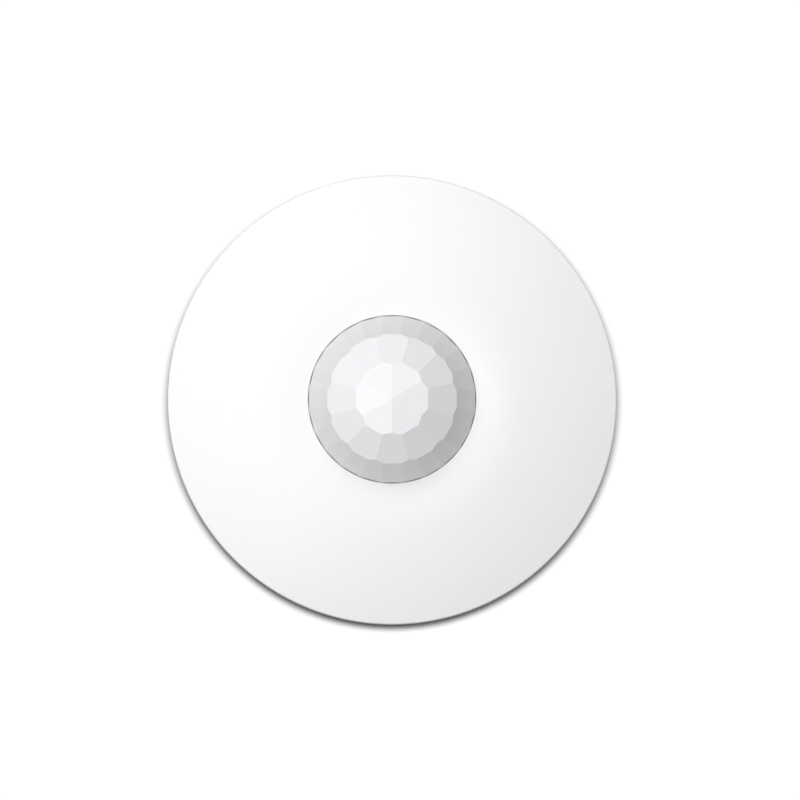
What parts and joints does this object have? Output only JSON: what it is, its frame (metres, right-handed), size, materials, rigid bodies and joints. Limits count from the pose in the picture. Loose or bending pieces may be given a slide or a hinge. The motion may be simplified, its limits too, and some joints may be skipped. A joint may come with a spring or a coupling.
{
  "type": "ceiling motion sensor",
  "caption": "Round flat-domed ceiling motion sensor: faceted domed lens in a low conical cover on a twist-lock ceiling base, with the board, sensor and terminals inside.",
  "frame": {"origin": "centre of the mounting face, in the plane of the ceiling", "axes": "+Z from the ceiling out through the lens, +Y away from the terminal block, +X along the line of the two mounting-screw slots"},
  "size_m": [0.11, 0.11, 0.0337],
  "materials": {
    "cover_plastic": "fine-grained white ABS moulding",
    "lens_plastic": "milky translucent polyethylene, faintly blue",
    "chassis_plastic": "white ABS moulding",
    "guard_plastic": "white ABS moulding",
    "board": "green solder mask over glass epoxy",
    "zinc_steel": "zinc-plated steel",
    "tinned_metal": "tinned copper",
    "spring_steel": "drawn spring wire",
    "sensor_metal": "nickel-plated steel cap",
    "infrared_filter": "dark coated silicon",
    "ceramic_chip": "pale unglazed ceramic",
    "black_rubber": "soft black rubber",
    "led_red": "clear red epoxy",
    "terminal_plastic": "green polyamide",
    "clamp_brass": "plain brass",
    "relay_plastic": "white polyester case",
    "switch_plastic": "red polyester",
    "slider_plastic": "white acetal",
    "trimmer_plastic": "blue polyester",
    "rotor_plastic": "white acetal",
    "black_plastic": "black glass-filled polyester",
    "can_sleeve": "shrink sleeve over an aluminium can",
    "chip_epoxy": "moulded epoxy",
    "capacitor_ceramic": "tan fired ceramic"
  },
  "bodies": {
    "ceiling_base": {"ceiling_base": "chassis_plastic"},
    "sensor_head": {"chassis": "chassis_plastic", "cable_grommet": "black_rubber", "circuit_board": "board", "board_screws": "zinc_steel", "component_leads": "tinned_metal", "sensor_header": "sensor_metal", "sensor_can": "sensor_metal", "sensor_window": "infrared_filter", "sensor_element": "ceramic_chip", "sensor_collar": "black_rubber", "indicator_led": "led_red", "terminal_housing": "terminal_plastic", "terminal_pins": "tinned_metal", "alarm_relay": "relay_plastic", "option_switch_housing": "switch_plastic", "trimmer_housing": "trimmer_plastic", "tamper_switch_housing": "black_plastic", "tamper_spring": "spring_steel", "electrolytic_capacitors": "can_sleeve", "control_chips": "chip_epoxy", "chip_legs": "tinned_metal", "chip_resistors": "chip_epoxy", "chip_capacitors": "capacitor_ceramic", "supply_diodes": "chip_epoxy"},
    "front_cover": {"front_cover": "cover_plastic", "fresnel_lens": "lens_plastic", "lens_retainer": "guard_plastic", "retainer_screws": "zinc_steel"},
    "tamper_plunger": {"tamper_plunger": "rotor_plastic"},
    "trimmer_rotor": {"trimmer_rotor": "rotor_plastic"},
    "terminal_screw_1": {"terminal_screw_1": "zinc_steel"},
    "terminal_clamp_1": {"terminal_clamp_1": "clamp_brass"},
    "terminal_screw_2": {"terminal_screw_2": "zinc_steel"},
    "terminal_clamp_2": {"terminal_clamp_2": "clamp_brass"},
    "terminal_screw_3": {"terminal_screw_3": "zinc_steel"},
    "terminal_clamp_3": {"terminal_clamp_3": "clamp_brass"},
    "terminal_screw_4": {"terminal_screw_4": "zinc_steel"},
    "terminal_clamp_4": {"terminal_clamp_4": "clamp_brass"},
    "terminal_screw_5": {"terminal_screw_5": "zinc_steel"},
    "terminal_clamp_5": {"terminal_clamp_5": "clamp_brass"},
    "terminal_screw_6": {"terminal_screw_6": "zinc_steel"},
    "terminal_clamp_6": {"terminal_clamp_6": "clamp_brass"},
    "option_slider_1": {"option_slider_1": "slider_plastic"},
    "option_slider_2": {"option_slider_2": "slider_plastic"},
    "option_slider_3": {"option_slider_3": "slider_plastic"},
    "option_slider_4": {"option_slider_4": "slider_plastic"}
  },
  "joints": [
    {"name": "head_twist", "type": "hinge", "parent": "ceiling_base", "child": "sensor_head", "pos_m": [0, 0, 0.005], "axis": [0, 0, 1], "range_deg": [0, 10]},
    {"name": "cover_lift", "type": "slide", "parent": "sensor_head", "child": "front_cover", "axis": [0, 0, 1], "range_m": [0, 0.06]},
    {"name": "tamper_travel", "type": "slide", "parent": "sensor_head", "child": "tamper_plunger", "axis": [0, 0, 1], "range_m": [0, 0.0016], "deforming": ["tamper_spring"]},
    {"name": "trimmer_turn", "type": "hinge", "parent": "sensor_head", "child": "trimmer_rotor", "pos_m": [0.0245, 0.0118, 0.0125], "axis": [0, 0, 1], "range_deg": [-120, 120]},
    {"name": "terminal_clamp_rise_1", "type": "slide", "parent": "sensor_head", "child": "terminal_clamp_1", "axis": [0, 0, 1], "range_m": [0, 0.0012]},
    {"name": "terminal_screw_turn_1", "type": "hinge", "parent": "sensor_head", "child": "terminal_screw_1", "pos_m": [-0.00953, -0.0296, 0.014], "axis": [0, 0, 1], "range_deg": [-1080, 0]},
    {"name": "terminal_clamp_rise_2", "type": "slide", "parent": "sensor_head", "child": "terminal_clamp_2", "axis": [0, 0, 1], "range_m": [0, 0.0012]},
    {"name": "terminal_screw_turn_2", "type": "hinge", "parent": "sensor_head", "child": "terminal_screw_2", "pos_m": [-0.00571, -0.0296, 0.014], "axis": [0, 0, 1], "range_deg": [-1080, 0]},
    {"name": "terminal_clamp_rise_3", "type": "slide", "parent": "sensor_head", "child": "terminal_clamp_3", "axis": [0, 0, 1], "range_m": [0, 0.0012]},
    {"name": "terminal_screw_turn_3", "type": "hinge", "parent": "sensor_head", "child": "terminal_screw_3", "pos_m": [-0.00191, -0.0296, 0.014], "axis": [0, 0, 1], "range_deg": [-1080, 0]},
    {"name": "terminal_clamp_rise_4", "type": "slide", "parent": "sensor_head", "child": "terminal_clamp_4", "axis": [0, 0, 1], "range_m": [0, 0.0012]},
    {"name": "terminal_screw_turn_4", "type": "hinge", "parent": "sensor_head", "child": "terminal_screw_4", "pos_m": [0.00191, -0.0296, 0.014], "axis": [0, 0, 1], "range_deg": [-1080, 0]},
    {"name": "terminal_clamp_rise_5", "type": "slide", "parent": "sensor_head", "child": "terminal_clamp_5", "axis": [0, 0, 1], "range_m": [0, 0.0012]},
    {"name": "terminal_screw_turn_5", "type": "hinge", "parent": "sensor_head", "child": "terminal_screw_5", "pos_m": [0.00571, -0.0296, 0.014], "axis": [0, 0, 1], "range_deg": [-1080, 0]},
    {"name": "terminal_clamp_rise_6", "type": "slide", "parent": "sensor_head", "child": "terminal_clamp_6", "axis": [0, 0, 1], "range_m": [0, 0.0012]},
    {"name": "terminal_screw_turn_6", "type": "hinge", "parent": "sensor_head", "child": "terminal_screw_6", "pos_m": [0.00953, -0.0296, 0.014], "axis": [0, 0, 1], "range_deg": [-1080, 0]},
    {"name": "option_slider_travel_1", "type": "slide", "parent": "sensor_head", "child": "option_slider_1", "axis": [1, 0, 0], "range_m": [-0.0018, 0]},
    {"name": "option_slider_travel_2", "type": "slide", "parent": "sensor_head", "child": "option_slider_2", "axis": [1, 0, 0], "range_m": [0, 0.0018]},
    {"name": "option_slider_travel_3", "type": "slide", "parent": "sensor_head", "child": "option_slider_3", "axis": [1, 0, 0], "range_m": [-0.0018, 0]},
    {"name": "option_slider_travel_4", "type": "slide", "parent": "sensor_head", "child": "option_slider_4", "axis": [1, 0, 0], "range_m": [0, 0.0018]}
  ],
  "couplings": [
    {"joint": "tamper_travel", "follows": "cover_lift", "ratio": 0.026667},
    {"joint": "terminal_screw_turn_1", "follows": "terminal_clamp_rise_1", "rad_per_m": -15708},
    {"joint": "terminal_screw_turn_2", "follows": "terminal_clamp_rise_2", "rad_per_m": -15708},
    {"joint": "terminal_screw_turn_3", "follows": "terminal_clamp_rise_3", "rad_per_m": -15708},
    {"joint": "terminal_screw_turn_4", "follows": "terminal_clamp_rise_4", "rad_per_m": -15708},
    {"joint": "terminal_screw_turn_5", "follows": "terminal_clamp_rise_5", "rad_per_m": -15708},
    {"joint": "terminal_screw_turn_6", "follows": "terminal_clamp_rise_6", "rad_per_m": -15708}
  ]
}
